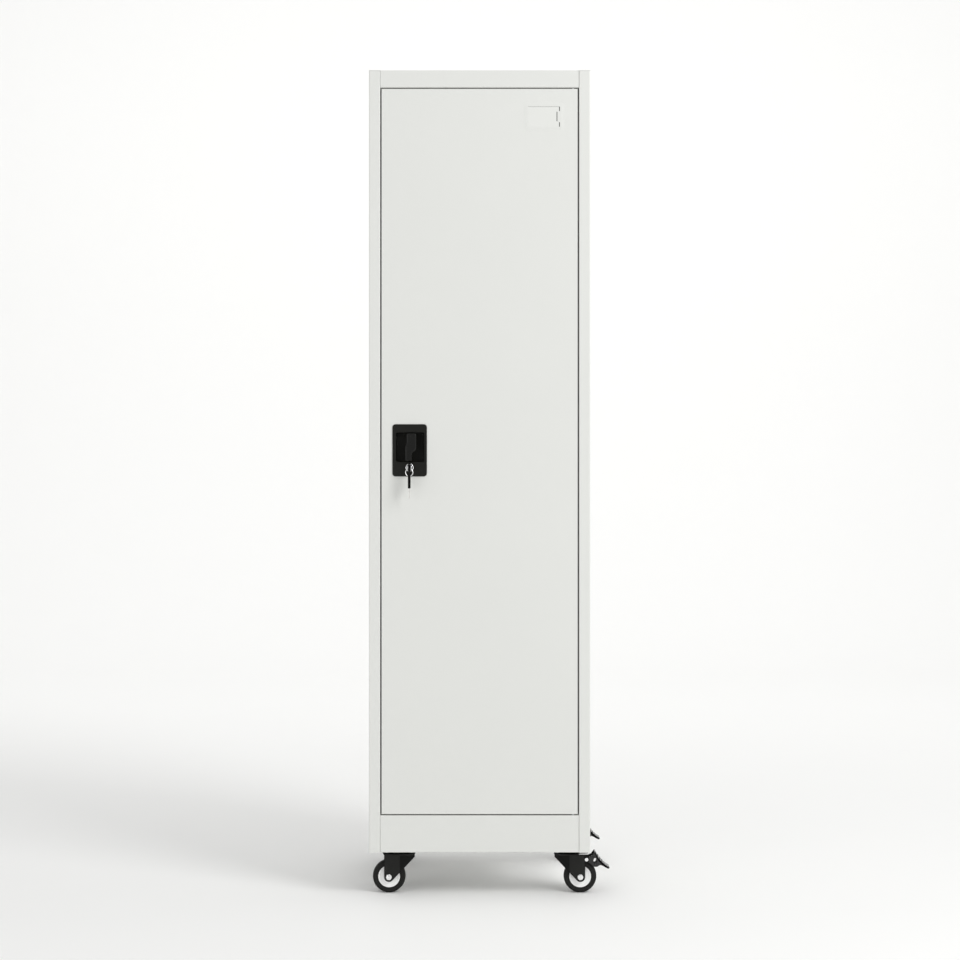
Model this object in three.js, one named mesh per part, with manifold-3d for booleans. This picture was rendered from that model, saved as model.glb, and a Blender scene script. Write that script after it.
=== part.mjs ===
// Locker cabinet on four swivel casters, in millimetres. +Z is up and the door faces -Y.
// Pieces are placed from the middle of the cabinet's body at floor level; the last lines shift the
// whole cabinet so that its origin is the bottom centre of everything, pedals and keys included.
import * as THREE from "three";
import { mergeVertices } from "three/addons/utils/BufferGeometryUtils.js";
import Module from "manifold-3d";

const wasm = await Module();
wasm.setup();

// Driving dimensions
const WIDTH = 500;
const DEPTH = 450;
const UNDERSIDE = 102;
const TOP = 1870;
const SHEET = 1.2;
const GAP = 0.3;
const BEND = 2.4;
const FRONT = -DEPTH / 2;
const REAR = DEPTH / 2;
const HALF = WIDTH / 2;
const RAIL_FRONT = FRONT + 0.6;
const JAMB = 25.5;
const TOP_RAIL = 39.4;
const FLOOR_TOP = 186.3;

const DOOR = { halfWidth: 221.5, bottom: 189.3, top: 1827.6, front: -224.8, depth: 18, flange: 12 };
const DOOR_BACK = DOOR.front + DOOR.depth;
const PIVOT = { x: 211.5, y: -217.3, pin: 3, bush: 3.3 };

const HANDLE = { x: -158, z: 1011, width: 78, height: 118, corner: 8, proud: 2.5 };
const RECESS = { x: -157, z: 1018, width: 63, height: 65.5, wall: 3, floorFront: -212.3, floor: 2.5 };
const GRIP = { x: -156, z: 1017.5, reach: 31.5, front: -238, back: -228.3 };
const LOCK = { x: -158, z: 972, bezel: 9, barrel: 8, plug: 5.5, front: -230.3 };
const CRANK = { radius: 12, pin: 2.5, slot: 3.1 };
const CAM_LAYER = { front: -209.3, back: -206.7 };
const ROD_LAYER = { front: -205.9, back: -203.4 };
const ROD = { offset: 20, width: 12 };
const LOCK_TAB_REACH = 28.5;
const RING = { y: -249, radius: 8.2, wire: 1 };
const KEY_HEAD = { thick: 5.4, hole: 2.4 };

const CARD = { left: 109, right: 185, bottom: 1739, top: 1788 };
const SHELF_Z = 1560;
const COAT_RAIL_Z = 1500;

const CASTER = {
  leftX: -183,
  rightX: 206,
  y: 165,
  offset: 24,
  wheel: 37.5,
  tread: 24,
  disc: 25,
  plateX: 70,
  plateY: 60,
  plateTop: 101.7,
  plate: 2.5,
  crownTop: 91,
  leg: 2.5,
  innerHalf: 16,
  axle: 4,
  foot: 11,
};
const PEDAL = { pivotT: 38, pivotZ: 77.5 };

// Materials
function finish(color, roughness, metalness) {
  return new THREE.MeshStandardMaterial({ color, roughness, metalness });
}
const BODY_PAINT = [0xe2e3de, 0.5, 0];
const INNER_PAINT = [0xdcddd8, 0.55, 0];
const BLACK_PLASTIC = [0x24241f, 0.55, 0];
const BLACK_STEEL = [0x1c1c1c, 0.45, 0.2];
const CHROME = [0xd5d6d8, 0.15, 1];
const ZINC = [0xb9babc, 0.35, 1];
const RUBBER = [0x1a1a1a, 0.8, 0];
const WHITE_PLASTIC = [0xe8e8e4, 0.5, 0];
const PAPER = [0xf4f4f1, 0.9, 0];

const root = new THREE.Group();
root.name = "locker_cabinet";

// Makes a named mesh with its own material and adds it to the cabinet.
function add(name, geometry, look) {
  const mesh = new THREE.Mesh(geometry, finish(...look));
  mesh.name = name;
  root.add(mesh);
  return mesh;
}

// Closed solids from drawn geometry, and drawn geometry from closed solids.
function solid(geometry) {
  const bare = geometry.clone();
  bare.deleteAttribute("normal");
  bare.deleteAttribute("uv");
  bare.clearGroups();
  const merged = mergeVertices(bare, 1e-3);
  const mesh = new wasm.Mesh({
    numProp: 3,
    vertProperties: merged.attributes.position.array,
    triVerts: new Uint32Array(merged.index.array),
  });
  return new wasm.Manifold(mesh);
}

function geometryOf(manifold) {
  const mesh = manifold.getMesh();
  const geometry = new THREE.BufferGeometry();
  geometry.setAttribute("position", new THREE.BufferAttribute(mesh.vertProperties, 3));
  geometry.setIndex(new THREE.BufferAttribute(mesh.triVerts, 1));
  geometry.computeVertexNormals();
  return geometry;
}

function join(...geometries) {
  return geometryOf(geometries.map(solid).reduce((whole, piece) => whole.add(piece)));
}

function cut(body, ...tools) {
  return geometryOf(tools.map(solid).reduce((left, tool) => left.subtract(tool), solid(body)));
}

// A box given by its two corners.
function block(x0, x1, y0, y1, z0, z1) {
  const geometry = new THREE.BoxGeometry(x1 - x0, y1 - y0, z1 - z0);
  return geometry.translate((x0 + x1) / 2, (y0 + y1) / 2, (z0 + z1) / 2);
}

// A cylinder along one axis, from its middle.
function rod(axis, radius, length, x, y, z, segments = 16) {
  const geometry = new THREE.CylinderGeometry(radius, radius, length, segments);
  if (axis === "z") geometry.rotateX(Math.PI / 2);
  if (axis === "x") geometry.rotateZ(Math.PI / 2);
  return geometry.translate(x, y, z);
}

// A flat shape drawn in the X-Z plane and given a thickness from y0 to y1.
function slab(shape, y0, y1, curveSegments = 6) {
  const options = { depth: y1 - y0, bevelEnabled: false, curveSegments };
  const geometry = new THREE.ExtrudeGeometry(shape, options);
  return geometry.rotateX(Math.PI / 2).translate(0, y1, 0);
}

// A flat shape drawn in the Y-Z plane and given a length from x0 to x1.
function beam(shape, x0, x1) {
  const geometry = new THREE.ExtrudeGeometry(shape, { depth: x1 - x0, bevelEnabled: false });
  geometry.applyMatrix4(new THREE.Matrix4().set(0, 0, 1, x0, 1, 0, 0, 0, 0, 1, 0, 0, 0, 0, 0, 1));
  return geometry;
}

// A flat shape drawn in the X-Y plane and given a height from z0 to z1.
function column(shape, z0, z1) {
  return new THREE.ExtrudeGeometry(shape, { depth: z1 - z0, bevelEnabled: false }).translate(0, 0, z0);
}

// A profile of [radius, height] pairs turned about one axis, drawn either way round.
function turned(profile, axis, x, y, z, segments = 20) {
  const points = profile.map(([r, h]) => new THREE.Vector2(r, h));
  if (THREE.ShapeUtils.area(points) < 0) points.reverse();
  const geometry = new THREE.LatheGeometry(points, segments);
  if (axis === "z") geometry.rotateX(Math.PI / 2);
  if (axis === "x") geometry.rotateZ(-Math.PI / 2);
  return geometry.translate(x, y, z);
}

// The outline of bent sheet metal: a centre line with round bends, thickened to both sides.
function bentSheet(line, thickness = SHEET, radius = BEND, steps = 3) {
  const points = line.map(([a, b]) => new THREE.Vector2(a, b));
  const middle = radius - thickness / 2;
  const path = [points[0]];
  const tangents = [points[1].clone().sub(points[0]).normalize()];
  for (let i = 1; i < points.length - 1; i++) {
    const into = points[i].clone().sub(points[i - 1]).normalize();
    const out = points[i + 1].clone().sub(points[i]).normalize();
    const turn = Math.atan2(into.cross(out), into.dot(out));
    const back = middle * Math.tan(Math.abs(turn) / 2);
    const start = points[i].clone().addScaledVector(into, -back);
    const side = Math.sign(turn);
    const centre = start.clone().add(new THREE.Vector2(-into.y, into.x).multiplyScalar(side * middle));
    for (let k = 0; k <= steps; k++) {
      const angle = (turn * k) / steps;
      path.push(start.clone().rotateAround(centre, angle));
      tangents.push(into.clone().rotateAround(new THREE.Vector2(), angle));
    }
  }
  path.push(points.at(-1));
  tangents.push(points.at(-1).clone().sub(points.at(-2)).normalize());
  const offset = (side) =>
    path.map((p, i) => new THREE.Vector2(-tangents[i].y, tangents[i].x).multiplyScalar(side).add(p));
  return new THREE.Shape([...offset(-thickness / 2), ...offset(thickness / 2).reverse()]);
}

function roundedRect(cx, cz, width, height, corner) {
  const shape = new THREE.Shape();
  const x = width / 2 - corner;
  const z = height / 2 - corner;
  shape.absarc(cx + x, cz + z, corner, 0, Math.PI / 2);
  shape.absarc(cx - x, cz + z, corner, Math.PI / 2, Math.PI);
  shape.absarc(cx - x, cz - z, corner, Math.PI, 1.5 * Math.PI);
  shape.absarc(cx + x, cz - z, corner, 1.5 * Math.PI, 2 * Math.PI);
  return shape;
}

function polygon(points) {
  return new THREE.Shape(points.map(([a, b]) => new THREE.Vector2(a, b)));
}

// ---- Cabinet body ----
const wall = HALF - SHEET / 2;
const capUnder = TOP - SHEET;
const doorStop = HALF - JAMB;
const flangeY = REAR - SHEET - GAP - SHEET / 2;

// One side: stile with its return and lip at the front, the wall, and a flange for the back.
function sidePanel(side) {
  const line = [
    [doorStop + 12, FRONT + 24],
    [doorStop + SHEET / 2, FRONT + 24],
    [doorStop + SHEET / 2, FRONT + SHEET / 2],
    [wall, FRONT + SHEET / 2],
    [wall, flangeY],
    [HALF - 20, flangeY],
  ];
  const mirrored = line.map(([x, y]) => [side * x, y]);
  return column(bentSheet(mirrored), UNDERSIDE, capUnder - GAP);
}
add("side_panel_left", sidePanel(-1), BODY_PAINT);
add("side_panel_right", sidePanel(1), BODY_PAINT);

// Back: a flat sheet with two pressed ribs that stand inwards.
const backFront = REAR - SHEET;
function pressedRib(x, grow) {
  const w = 14 + grow;
  const line = [[x - w, backFront + 0.6], [x - w + 4, backFront - 3 + SHEET / 2 - grow]];
  line.push([x + w - 4, line[1][1]], [x + w, backFront + 0.6]);
  return column(polygon(line), 270 - grow, 1780 + grow);
}
let backPanel = solid(block(-HALF + 0.4, HALF - 0.4, backFront, REAR, UNDERSIDE, capUnder - GAP));
for (const x of [-110, 110]) {
  const shell = solid(pressedRib(x, SHEET / 2));
  const hollow = solid(pressedRib(x, -SHEET / 2)).add(
    solid(block(x - 13.4, x + 13.4, backFront - 0.1, REAR + 1, 270.6, 1779.4)),
  );
  backPanel = backPanel.add(shell).subtract(hollow);
}
add("back_panel", geometryOf(backPanel), BODY_PAINT);

// Top: front rail, cap and rear flange bent from one sheet, with the cap running out over the stiles.
const railUnder = TOP - TOP_RAIL + SHEET / 2;
const topLine = [
  [flangeY, TOP - 22],
  [flangeY, TOP - SHEET / 2],
  [RAIL_FRONT + SHEET / 2, TOP - SHEET / 2],
  [RAIL_FRONT + SHEET / 2, railUnder],
  [-210.6, railUnder],
  [-210.6, railUnder + 9],
];
const railHalf = doorStop - GAP;
const topPanel = join(
  beam(bentSheet(topLine), -railHalf, railHalf),
  block(-HALF, -railHalf + 1, FRONT, REAR, capUnder, TOP),
  block(railHalf - 1, HALF, FRONT, REAR, capUnder, TOP),
  block(-railHalf, railHalf, flangeY - 2, REAR, capUnder, TOP),
);
const pinHole = rod("z", PIVOT.bush, 8, PIVOT.x, PIVOT.y, railUnder);
add("top_panel", cut(topPanel, pinHole), BODY_PAINT);

// Base: bottom return, deep front rail, floor and rear flange.
const floorMiddle = FLOOR_TOP - SHEET / 2;
const baseLine = [
  [-200, UNDERSIDE + SHEET / 2],
  [RAIL_FRONT + SHEET / 2, UNDERSIDE + SHEET / 2],
  [RAIL_FRONT + SHEET / 2, floorMiddle],
  [flangeY, floorMiddle],
  [flangeY, UNDERSIDE + 40],
];
const floorStrip = [FRONT + 26, flangeY - SHEET / 2 - 1, FLOOR_TOP - SHEET, FLOOR_TOP];
const basePanel = join(
  beam(bentSheet(baseLine), -railHalf, railHalf),
  block(-HALF + SHEET + GAP, -railHalf + 1, ...floorStrip),
  block(railHalf - 1, HALF - SHEET - GAP, ...floorStrip),
);
const floorPinHole = rod("z", PIVOT.bush, 8, PIVOT.x, PIVOT.y, floorMiddle);
const rodSlotX = GRIP.x + ROD.offset;
const rodSlotY = [ROD_LAYER.front - 1.5, ROD_LAYER.back + 1.5];
const floorRodSlot = block(rodSlotX - 7.5, rodSlotX + 7.5, ...rodSlotY, 180, 190);
add("base_panel", cut(basePanel, floorPinHole, floorRodSlot), BODY_PAINT);

// Channels across the underside that the caster plates bolt to.
function casterChannel(y) {
  const line = [[y - 32, UNDERSIDE + 32], [y - 32, UNDERSIDE + 1], [y + 32, UNDERSIDE + 1]];
  line.push([y + 32, UNDERSIDE + 32]);
  const reach = HALF - SHEET - GAP;
  return beam(bentSheet(line, 2, 4), -reach, reach);
}
add("caster_channel_front", casterChannel(-CASTER.y), BODY_PAINT);
add("caster_channel_rear", casterChannel(CASTER.y), BODY_PAINT);

// ---- Inside ----
const inner = HALF - SHEET - GAP;
const shelfY = [FRONT + 29, flangeY - 5];
const shelfLine = [
  [shelfY[0] + 12, SHELF_Z - 24],
  [shelfY[0] + SHEET / 2, SHELF_Z - 24],
  [shelfY[0] + SHEET / 2, SHELF_Z - SHEET / 2],
  [shelfY[1], SHELF_Z - SHEET / 2],
  [shelfY[1], SHELF_Z - 24],
];
add("shelf", beam(bentSheet(shelfLine), -inner + 0.5, inner - 0.5), INNER_PAINT);

// Clips under the shelf, each an angle on the side wall.
for (const [sideName, side] of [["left", -1], ["right", 1]]) {
  for (const [endName, y] of [["front", -140], ["rear", 150]]) {
    const clipTop = SHELF_Z - SHEET - GAP - 0.75;
    const line = [
      [side * (inner - 18), clipTop],
      [side * (inner - 0.75), clipTop],
      [side * (inner - 0.75), clipTop - 16],
    ];
    const clip = slab(bentSheet(line, 1.5, 2.5), y - 11, y + 11);
    add(`shelf_clip_${sideName}_${endName}`, clip, ZINC);
  }
}

// Coat rail: an open tube in two cup brackets.
const cupFace = inner;
const railReach = cupFace - 3.5;
const tube = [[8.5, -railReach], [10, -railReach], [10, railReach], [8.5, railReach], [8.5, -railReach]];
add("coat_rail", turned(tube, "x", 0, 0, COAT_RAIL_Z), CHROME);
for (const [sideName, side] of [["left", -1], ["right", 1]]) {
  const cup = [[0, 0], [20, 0], [20, 2], [13, 3], [13, 14], [10.4, 14], [10.4, 3], [0, 3]];
  const bracket = turned(cup, "x", 0, 0, 0);
  if (side > 0) bracket.rotateZ(Math.PI);
  add(`rail_bracket_${sideName}`, bracket.translate(side * cupFace, 0, COAT_RAIL_Z), ZINC);
}

// ---- Door ----
const skinBack = DOOR.front + SHEET;
const doorMiddle = (DOOR.bottom + DOOR.top) / 2;
const doorHeight = DOOR.top - DOOR.bottom;
function doorBox(inset, y0, y1) {
  const w = DOOR.halfWidth - inset;
  const h = doorHeight / 2 - inset;
  return block(-w, w, y0, y1, doorMiddle - h, doorMiddle + h);
}
const recessOuter = [RECESS.width + 2 * RECESS.wall, RECESS.height + 2 * RECESS.wall];
const handleCut = roundedRect(RECESS.x, RECESS.z, recessOuter[0] + 1, recessOuter[1] + 1, 5);
const doorSkin = cut(
  doorBox(0, DOOR.front, DOOR_BACK),
  doorBox(SHEET, skinBack, DOOR_BACK - SHEET),
  doorBox(DOOR.flange, skinBack, DOOR_BACK + 1),
  slab(handleCut, DOOR.front - 1, skinBack + 1, 4),
  rod("y", LOCK.barrel + 3.5, 6, LOCK.x, DOOR.front, LOCK.z),
  rod("z", PIVOT.bush + 0.3, 8, PIVOT.x, PIVOT.y, DOOR.top),
  rod("z", PIVOT.bush + 0.3, 8, PIVOT.x, PIVOT.y, DOOR.bottom),
);
add("door_skin", doorSkin, BODY_PAINT);

// Hat-shaped stiffener down the middle of the door.
const hat = skinBack + GAP + 0.5;
const hatLine = [[-25, hat], [-8, hat], [-8, -208.4], [32, -208.4], [32, hat], [49, hat]];
add("door_stiffener", column(bentSheet(hatLine, 1, 2.2), 215, 1802), INNER_PAINT);

// Hinge pins stand in the rails and turn in bushes in the door's edges.
function hingePin(direction, seat) {
  const pin = [[0, -19], [2.4, -19], [PIVOT.pin, -18], [PIVOT.pin, 0.6 + GAP], [5, 0.6 + GAP], [5, 3.5]];
  const geometry = turned([...pin, [0, 3.5]], "z", 0, 0, 0, 16);
  if (direction < 0) geometry.rotateX(Math.PI);
  return geometry.translate(PIVOT.x, PIVOT.y, seat);
}
function hingeBush(z0, z1) {
  const wallLine = [[PIVOT.bush, z0], [6, z0], [6, z1], [PIVOT.bush, z1], [PIVOT.bush, z0]];
  return turned(wallLine, "z", PIVOT.x, PIVOT.y, 0, 16);
}
add("hinge_pin_upper", hingePin(1, railUnder), ZINC);
add("hinge_pin_lower", hingePin(-1, floorMiddle), ZINC);
add("hinge_bush_upper", hingeBush(DOOR.top - SHEET - GAP - 12, DOOR.top - SHEET - GAP), BLACK_PLASTIC);
const lowerBushBottom = DOOR.bottom + SHEET + GAP;
add("hinge_bush_lower", hingeBush(lowerBushBottom, lowerBushBottom + 12), BLACK_PLASTIC);

// ---- Handle housing ----
// A bevelled plate on the door with a bucket behind it and a boss for the lock.
const plateBack = DOOR.front - GAP;
const plateFront = DOOR.front - HANDLE.proud;
const bevel = 1.4;
const plateShape = roundedRect(
  HANDLE.x,
  HANDLE.z,
  HANDLE.width - 2 * bevel,
  HANDLE.height - 2 * bevel,
  HANDLE.corner - bevel,
);
const plate = new THREE.ExtrudeGeometry(plateShape, {
  depth: plateBack - plateFront - bevel,
  bevelEnabled: true,
  bevelThickness: bevel,
  bevelSize: bevel,
  bevelSegments: 2,
  curveSegments: 4,
});
plate.rotateX(Math.PI / 2).translate(0, plateBack, 0);
const plateTrim = block(
  HANDLE.x - 50,
  HANDLE.x + 50,
  plateBack,
  plateBack + 4,
  HANDLE.z - 70,
  HANDLE.z + 70,
);
const bucketBack = RECESS.floorFront + RECESS.floor;
const bucket = slab(roundedRect(RECESS.x, RECESS.z, ...recessOuter, 5), plateBack - 0.5, bucketBack, 4);
const pocket = slab(
  roundedRect(RECESS.x, RECESS.z, RECESS.width, RECESS.height, 3),
  plateFront - 3,
  RECESS.floorFront,
  4,
);
const boss = rod("y", LOCK.barrel + 3, 12, LOCK.x, plateBack + 5.5, LOCK.z);
const lockHole = rod("y", LOCK.barrel + GAP, 40, LOCK.x, plateBack, LOCK.z);
const shaftHole = rod("y", 6 + GAP, 12, GRIP.x, bucketBack, GRIP.z);
add(
  "handle_housing",
  cut(join(cut(plate, plateTrim), bucket, boss), pocket, lockHole, shaftHole),
  BLACK_PLASTIC,
);

// Turn grip: a broad upper wing and a narrower lower one, on a round hub and shaft.
const { reach } = GRIP;
const gripLine = [
  [-9, reach - 4],
  [-6, reach],
  [11, reach],
  [13.5, reach - 4],
  [13.5, -5],
  [4, -14],
  [3.4, -reach + 3],
  [1, -reach],
  [-9.5, -reach],
  [-12, -reach + 3],
  [-12, 3],
  [-9, 9],
];
const gripShape = polygon(gripLine.map(([x, z]) => [GRIP.x + x, GRIP.z + z]));
const gripBody = new THREE.ExtrudeGeometry(gripShape, {
  depth: GRIP.back - GRIP.front - 2 * 1.5,
  bevelEnabled: true,
  bevelThickness: 1.5,
  bevelSize: 1,
  bevelOffset: -1,
  bevelSegments: 2,
});
gripBody.rotateX(Math.PI / 2).translate(0, GRIP.back - 1.5, 0);
const hubFront = GRIP.back - 1;
const hubBack = RECESS.floorFront - 0.5;
const gripHub = rod("y", 11, hubBack - hubFront, GRIP.x, (hubFront + hubBack) / 2, GRIP.z);
const gripShaft = rod("y", 6, 10, GRIP.x, CAM_LAYER.front - GAP - 5, GRIP.z);
const tang = block(GRIP.x - 3.2, GRIP.x + 3.2, -215, CAM_LAYER.back, GRIP.z - 3.2, GRIP.z + 3.2);
add("turn_grip", join(gripBody, gripHub, gripShaft, tang), BLACK_PLASTIC);

// Cam on the shaft's end: two crank pins drive the rods, two hollows take the lock's tab.
const crankAt = CRANK.radius * Math.SQRT1_2;
const lockDrop = GRIP.z - LOCK.z;
const camHollow = LOCK_TAB_REACH + 0.6;
const camThick = CAM_LAYER.back - CAM_LAYER.front;
const camMiddle = (CAM_LAYER.front + CAM_LAYER.back) / 2;
const camDisc = cut(
  rod("y", 20, camThick, GRIP.x, camMiddle, GRIP.z, 32),
  rod("y", camHollow, 10, GRIP.x, CAM_LAYER.front, GRIP.z - lockDrop, 48),
  rod("y", camHollow, 10, GRIP.x + lockDrop, CAM_LAYER.front, GRIP.z, 48),
  block(GRIP.x - 3.5, GRIP.x + 3.5, -215, -200, GRIP.z - 3.5, GRIP.z + 3.5),
);
const crankPins = [-1, 1].map((side) =>
  rod("y", CRANK.pin, 5, GRIP.x + side * crankAt, CAM_LAYER.back + 2, GRIP.z + side * crankAt, 12),
);
add("cam_plate", join(camDisc, ...crankPins), ZINC);

// Lock rods: a straight bar beside the cam with an arm that carries the crank pin's slot.
function lockRod(side, end) {
  const barX = GRIP.x - side * ROD.offset;
  const pinZ = GRIP.z - side * crankAt;
  const outer = [barX - side * (ROD.width / 2), barX + side * (ROD.width / 2)];
  const bar = block(Math.min(...outer), Math.max(...outer), ROD_LAYER.front, ROD_LAYER.back, ...end);
  const armX = [outer[0], GRIP.x - side * 3.6];
  const arm = block(
    Math.min(...armX),
    Math.max(...armX),
    ROD_LAYER.front,
    ROD_LAYER.back,
    pinZ - 6.5,
    pinZ + 6.5,
  );
  const slotX = [GRIP.x - side * (CRANK.radius + 3.2), GRIP.x - side * (crankAt - 3.1)];
  const slot = block(
    Math.min(...slotX),
    Math.max(...slotX),
    ROD_LAYER.front - 1,
    ROD_LAYER.back + 1,
    pinZ - CRANK.slot,
    pinZ + CRANK.slot,
  );
  return cut(join(bar, arm), slot);
}
add("upper_rod", lockRod(1, [GRIP.z - crankAt - 6.5, DOOR.top - 5]), ZINC);
add("lower_rod", lockRod(-1, [DOOR.bottom + 5, GRIP.z + crankAt + 6.5]), ZINC);

// Guides near the rods' ends, fixed to the door's skin.
function rodGuide(side, z) {
  const x = GRIP.x - side * ROD.offset;
  const y = [ROD_LAYER.front - GAP, ROD_LAYER.back + GAP];
  return cut(
    block(x - 12, x + 12, skinBack + GAP, ROD_LAYER.back + 3.5, z - 10, z + 10),
    block(x - ROD.width / 2 - GAP, x + ROD.width / 2 + GAP, ...y, z - 11, z + 11),
  );
}
add("rod_guide_upper", rodGuide(1, 1760), BLACK_PLASTIC);
add("rod_guide_lower", rodGuide(-1, 250), BLACK_PLASTIC);

// ---- Lock and keys ----
const barrelBack = CAM_LAYER.front - GAP;
const barrelLine = [
  [LOCK.plug + GAP, LOCK.front + 0.5],
  [LOCK.plug + GAP, barrelBack],
  [LOCK.barrel, barrelBack],
  [LOCK.barrel, plateFront - GAP],
  [LOCK.bezel, plateFront - GAP],
  [LOCK.bezel, LOCK.front + 1],
  [LOCK.bezel - 1.2, LOCK.front],
  [LOCK.plug + 0.9, LOCK.front],
  [LOCK.plug + GAP, LOCK.front + 0.5],
];
add("lock_barrel", turned(barrelLine, "y", LOCK.x, 0, LOCK.z), CHROME);

const plugFront = LOCK.front + 0.6;
const keyTip = -213;
const plugBody = [[0, barrelBack], [LOCK.plug, barrelBack], [LOCK.plug, plugFront], [0, plugFront]];
const plugTail = block(
  LOCK.x - 2.2,
  LOCK.x + 2.2,
  barrelBack - 1,
  CAM_LAYER.back,
  LOCK.z - 2.2,
  LOCK.z + 2.2,
);
const keyway = block(LOCK.x - 1.5, LOCK.x + 1.5, plugFront - 2, keyTip + 0.6, LOCK.z - 4.4, LOCK.z + 4.4);
const plug = turned(plugBody, "y", LOCK.x, 0, LOCK.z);
add("lock_plug", cut(join(plug, plugTail), keyway), CHROME);

// Locking tab, turned aside while the key stands upright.
const tabShape = new THREE.Shape();
const tabSpread = 0.22;
tabShape.absarc(LOCK.x, LOCK.z, LOCK_TAB_REACH, Math.PI - tabSpread, Math.PI + tabSpread);
tabShape.absarc(LOCK.x, LOCK.z, 7, 1.3 * Math.PI, 2.7 * Math.PI);
const lockTab = cut(
  slab(tabShape, CAM_LAYER.front + 0.2, CAM_LAYER.back - 0.2),
  block(LOCK.x - 2.6, LOCK.x + 2.6, -215, -200, LOCK.z - 2.6, LOCK.z + 2.6),
);
add("lock_tab", lockTab, ZINC);

// A key's plastic head, edge-on to the front: a rounded plate in the Y-Z plane with a ring hole.
function keyHead(y0, y1, z0, z1, corner, holeY, holeZ) {
  const shape = roundedRect((y0 + y1) / 2, (z0 + z1) / 2, y1 - y0, z1 - z0, corner);
  shape.holes.push(new THREE.Path().absarc(holeY, holeZ, KEY_HEAD.hole, 0, 2 * Math.PI, true));
  const options = {
    depth: KEY_HEAD.thick - 1.6,
    bevelEnabled: true,
    bevelThickness: 0.8,
    bevelSize: 0.8,
    bevelOffset: -0.8,
    bevelSegments: 1,
    curveSegments: 3,
  };
  const geometry = new THREE.ExtrudeGeometry(shape, options);
  const swap = new THREE.Matrix4().set(0, 0, 1, 0, 1, 0, 0, 0, 0, 1, 0, 0, 0, 0, 0, 1);
  return geometry.applyMatrix4(swap).translate(LOCK.x - KEY_HEAD.thick / 2 + 0.8, 0, 0);
}
const keySlot = [LOCK.x - 1.45, LOCK.x + 1.45];
const headFar = RING.y - 4.2;
const ringTop = LOCK.z - 2.8;
const headNear = LOCK.front - 0.9;
const keyHeadSolid = cut(
  keyHead(headFar, headNear, LOCK.z - 10, LOCK.z + 10, 6, RING.y, ringTop),
  block(...keySlot, headNear - 9, headNear + 1, LOCK.z - 4.3, LOCK.z + 4.3),
);
add("key_head", keyHeadSolid, BLACK_PLASTIC);

// A key's blade with a few shallow cuts along one edge.
function keyBlade(length) {
  const shape = new THREE.Shape();
  const cuts = 4;
  const step = (length - 12) / cuts;
  shape.moveTo(0, -4);
  shape.lineTo(length - 2, -4);
  shape.lineTo(length, -1);
  for (let i = 0; i < cuts; i++) {
    const at = length - 2 - i * step;
    shape.lineTo(at, 3.2 + (i % 2) * 0.7);
    shape.lineTo(at - step / 2, 1.8 + (i % 2) * 0.6);
  }
  shape.lineTo(9, 4);
  shape.lineTo(0, 4);
  const geometry = new THREE.ExtrudeGeometry(shape, { depth: 2.2, bevelEnabled: false });
  return geometry.translate(0, 0, -1.1);
}
const bladeStart = headNear - 8.5;
const blade = keyBlade(keyTip - bladeStart);
const toKeyPlane = new THREE.Matrix4().set(0, 0, 1, 0, 1, 0, 0, 0, 0, 1, 0, 0, 0, 0, 0, 1);
blade.applyMatrix4(toKeyPlane).translate(LOCK.x, bladeStart, LOCK.z);
add("key_blade", blade, ZINC);

// Split ring through the key's head, and the spare key hanging from it.
const ringZ = ringTop - RING.radius;
const ring = new THREE.TorusGeometry(RING.radius, RING.wire, 6, 20).rotateX(Math.PI / 2);
add("key_ring", ring.translate(LOCK.x, RING.y, ringZ), ZINC);

const spareHoleZ = ringTop - 2 * RING.radius;
const spareTop = spareHoleZ + 4.2;
const spareBottom = spareTop - 32;
const spareHead = cut(
  keyHead(RING.y - 10, RING.y + 10, spareBottom, spareTop, 6, RING.y, spareHoleZ),
  block(...keySlot, RING.y - 4.3, RING.y + 4.3, spareBottom - 1, spareBottom + 9),
);
add("spare_key_head", spareHead, BLACK_PLASTIC);
const spareBlade = keyBlade(31).applyMatrix4(toKeyPlane).rotateX(-Math.PI / 2);
add("spare_key_blade", spareBlade.translate(LOCK.x, RING.y, spareBottom + 8.5), ZINC);

// ---- Card holder ----
// A pressed frame with turned-over lips at top and bottom and a notched right end.
const holderBack = DOOR.front - GAP;
const holderFront = holderBack - 2.2;
const holderBody = block(CARD.left, CARD.right, holderFront, holderBack, CARD.bottom, CARD.top);
const cardPocket = block(
  CARD.left - 1,
  CARD.right - 8,
  holderFront + 0.7,
  holderBack - 0.6,
  CARD.bottom + 1.2,
  CARD.top - 1.2,
);
const cardWindow = block(
  CARD.left - 1,
  CARD.right - 12,
  holderFront - 1,
  holderFront + 1,
  CARD.bottom + 6,
  CARD.top - 6,
);
const notches = [CARD.bottom + 4.5, CARD.top - 9.5].map((z) =>
  block(CARD.right - 9, CARD.right - 5, holderFront - 1, holderFront + 0.9, z, z + 5),
);
add("card_holder", cut(holderBody, cardPocket, cardWindow, ...notches), BODY_PAINT);
const cardY = holderFront + 0.95;
const card = block(
  CARD.left + 1,
  CARD.right - 9,
  cardY,
  cardY + 0.35,
  CARD.bottom + 2,
  CARD.top - 2,
);
add("name_card", card, PAPER);

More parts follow.
